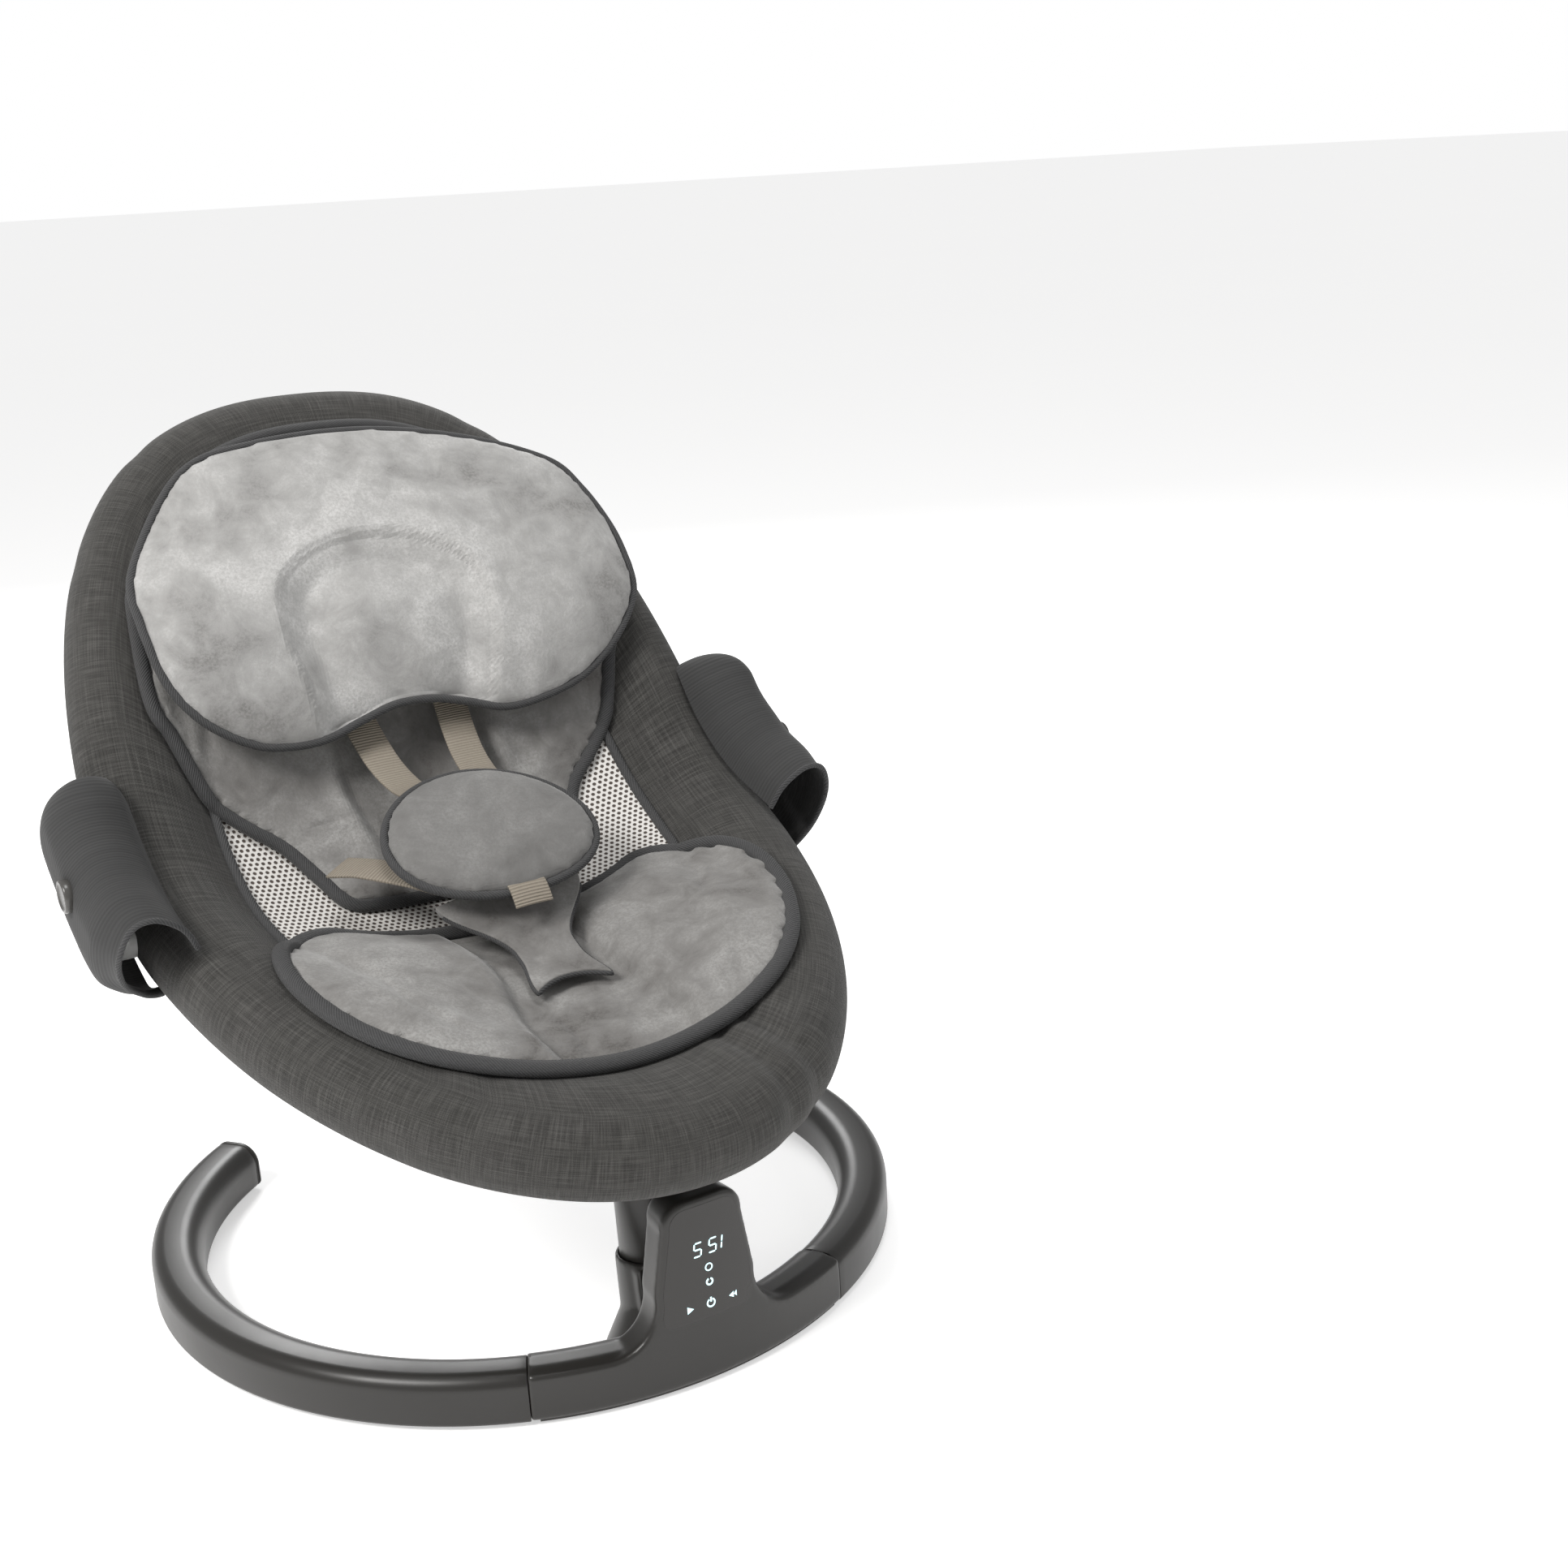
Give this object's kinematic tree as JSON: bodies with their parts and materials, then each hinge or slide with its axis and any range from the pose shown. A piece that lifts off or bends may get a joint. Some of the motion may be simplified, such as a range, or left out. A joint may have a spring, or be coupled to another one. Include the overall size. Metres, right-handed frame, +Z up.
{
  "type": "baby swing",
  "caption": "Baby swing with an open ring base, a motor tower, a leaning pivot and a padded oval seat with reclining back, head pillow, harness pads and side pockets.",
  "frame": {"origin": "on the floor, under the middle of the whole swing", "axes": "+Z up, the foot end and the touch panel face -Y, +X to the right as seen from the foot end"},
  "size_m": [0.54, 0.5978, 0.574],
  "materials": {
    "housing_plastic": "satin charcoal moulding",
    "cap_plastic": "satin",
    "foot_rubber": "matt",
    "bright_steel": "turned",
    "panel_plastic": "smoked, soft sheen",
    "circuit_board": "solder resist",
    "black_plastic": "moulded",
    "gear_plastic": "natural acetal",
    "white_paint": "powder coat",
    "hub_plastic": "moulded",
    "button_plastic": "satin",
    "pocket_fabric": "fine ribbed weave",
    "rim_fabric": "melange linen weave",
    "mesh_fabric": "open honeycomb mesh",
    "plush_fabric": "short crushed pile",
    "release_red": "moulded",
    "webbing": "ribbed webbing"
  },
  "bodies": {
    "base": {"front_housing": "housing_plastic", "bottom_cover": "housing_plastic", "left_base_arm": "housing_plastic", "right_base_arm": "housing_plastic", "left_end_cap": "cap_plastic", "right_end_cap": "cap_plastic", "rubber_feet": "foot_rubber", "base_screws": "bright_steel", "control_panel": "panel_plastic", "display_module": "circuit_board", "control_board": "circuit_board", "speaker": "black_plastic", "power_inlet": "black_plastic", "drive_motor": "bright_steel", "upper_bearing": "bright_steel", "lower_bearing": "bright_steel"},
    "pinion": {"drive_pinion": "gear_plastic"},
    "seat": {"pivot_shaft": "bright_steel", "sector_gear": "gear_plastic", "swing_post": "housing_plastic", "support_fork": "housing_plastic", "front_frame_tube": "white_paint", "left_hub_inner": "hub_plastic", "right_hub_inner": "hub_plastic", "left_hinge_pin": "bright_steel", "right_hinge_pin": "bright_steel", "left_side_pocket": "pocket_fabric", "right_side_pocket": "pocket_fabric", "front_rim_cover": "rim_fabric", "front_mesh_liner": "mesh_fabric", "front_under_cover": "rim_fabric", "seat_pad": "plush_fabric", "crotch_pad": "plush_fabric", "belly_pad": "plush_fabric", "harness_buckle": "black_plastic", "left_waist_strap": "webbing", "right_waist_strap": "webbing", "crotch_strap": "webbing"},
    "backrest": {"back_frame_tube": "white_paint", "left_hub_outer": "hub_plastic", "right_hub_outer": "hub_plastic", "back_rim_cover": "rim_fabric", "back_mesh_liner": "mesh_fabric", "back_under_cover": "rim_fabric", "back_cushion": "plush_fabric", "head_pillow": "plush_fabric", "left_shoulder_strap": "webbing", "right_shoulder_strap": "webbing"},
    "left_button": {"left_recline_button": "button_plastic"},
    "right_button": {"right_recline_button": "button_plastic"},
    "release_button": {"buckle_button": "release_red"}
  },
  "joints": [
    {"name": "swing", "type": "hinge", "parent": "base", "child": "seat", "pos_m": [0, -0.225, 0], "axis": [0, 0.1045, 0.9945], "range_deg": [-12, 12]},
    {"name": "pinion_spin", "type": "hinge", "parent": "base", "child": "pinion", "pos_m": [0, -0.26692, 0.00441], "axis": [0, 0.1045, 0.9945], "range_deg": [-73, 73]},
    {"name": "recline", "type": "hinge", "parent": "seat", "child": "backrest", "pos_m": [0, 0.03497, 0.30123], "axis": [1, 0, 0], "range_deg": [-30, 0]},
    {"name": "left_recline_press", "type": "slide", "parent": "seat", "child": "left_button", "axis": [1, 0, 0], "range_m": [0, 0.004], "stiffness_N_per_m": 300},
    {"name": "right_recline_press", "type": "slide", "parent": "seat", "child": "right_button", "axis": [-1, 0, 0], "range_m": [0, 0.004], "stiffness_N_per_m": 300},
    {"name": "buckle_press", "type": "slide", "parent": "seat", "child": "release_button", "axis": [0, 0.3746, -0.9272], "range_m": [0, 0.002], "stiffness_N_per_m": 400}
  ],
  "couplings": [
    {"joint": "pinion_spin", "follows": "swing", "ratio": -6}
  ]
}
